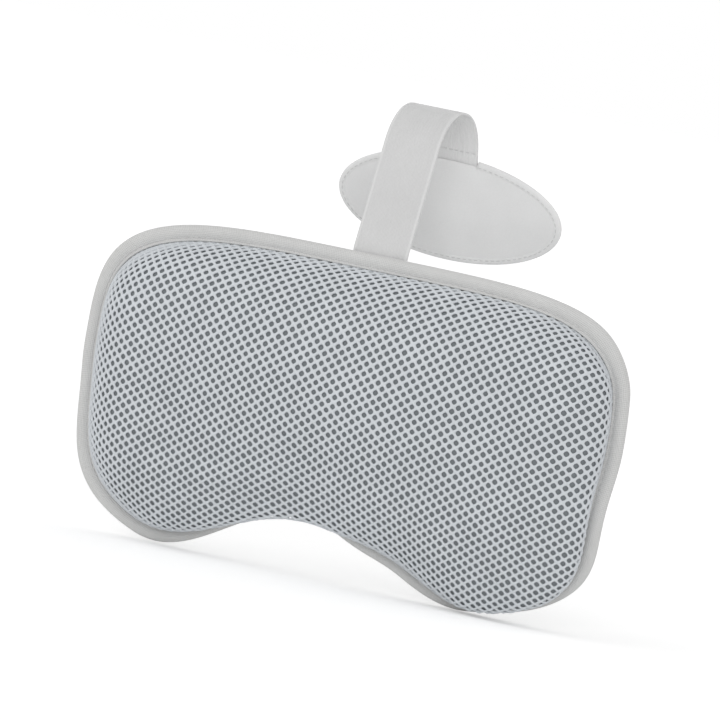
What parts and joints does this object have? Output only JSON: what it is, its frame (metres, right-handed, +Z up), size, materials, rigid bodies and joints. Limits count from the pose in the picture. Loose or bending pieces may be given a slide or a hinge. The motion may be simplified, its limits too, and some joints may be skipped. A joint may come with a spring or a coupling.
{
  "type": "bath pillow",
  "caption": "Kidney-shaped padded bath pillow with an open-mesh front and a taped edge, hung over a bath rim by a webbing strap that ends in a weighted oval pouch.",
  "frame": {"origin": "middle of the strap crown's underside, where the strap lies on the bath rim", "axes": "+X across the pillow, -Y out of the padded front, +Z up, with the strap hanging over the rim"},
  "size_m": [0.3772, 0.1578, 0.3021],
  "materials": {
    "mesh_knit": "open knitted air mesh",
    "lining_cloth": "matt knit",
    "padding": "soft fibre",
    "back_cloth": "close woven",
    "edge_tape": "woven tape",
    "webbing": "ribbed webbing",
    "pouch_cloth": "close woven",
    "weight_steel": "bare sheet"
  },
  "bodies": {
    "crown": {"strap_crown": "webbing"},
    "front_run": {"strap_front_run": "webbing"},
    "pillow": {"front_mesh_panel": "mesh_knit", "front_lining": "lining_cloth", "padding_core": "padding", "back_panel": "back_cloth", "edge_binding": "edge_tape", "strap_anchor_tab": "webbing"},
    "rear_run": {"strap_rear_run": "webbing"},
    "pouch": {"strap_pouch_tab": "webbing", "pouch_front_panel": "pouch_cloth", "pouch_back_panel": "pouch_cloth", "pouch_edge_tape": "edge_tape", "counterweight_plate": "weight_steel"}
  },
  "joints": [
    {"name": "front_shoulder", "type": "hinge", "parent": "crown", "child": "front_run", "pos_m": [0, -0.03072, -0.02277], "axis": [1, 0, 0], "range_deg": [-75, 0]},
    {"name": "pillow_seam", "type": "hinge", "parent": "front_run", "child": "pillow", "pos_m": [0, -0.04935, -0.09232], "axis": [1, 0, 0], "range_deg": [-90, 0]},
    {"name": "rear_shoulder", "type": "hinge", "parent": "crown", "child": "rear_run", "pos_m": [0, 0.01444, -0.00267], "axis": [1, 0, 0], "range_deg": [0, 75]},
    {"name": "pouch_seam", "type": "hinge", "parent": "rear_run", "child": "pouch", "pos_m": [0, 0.02969, -0.0196], "axis": [1, 0, 0], "range_deg": [0, 60]}
  ]
}
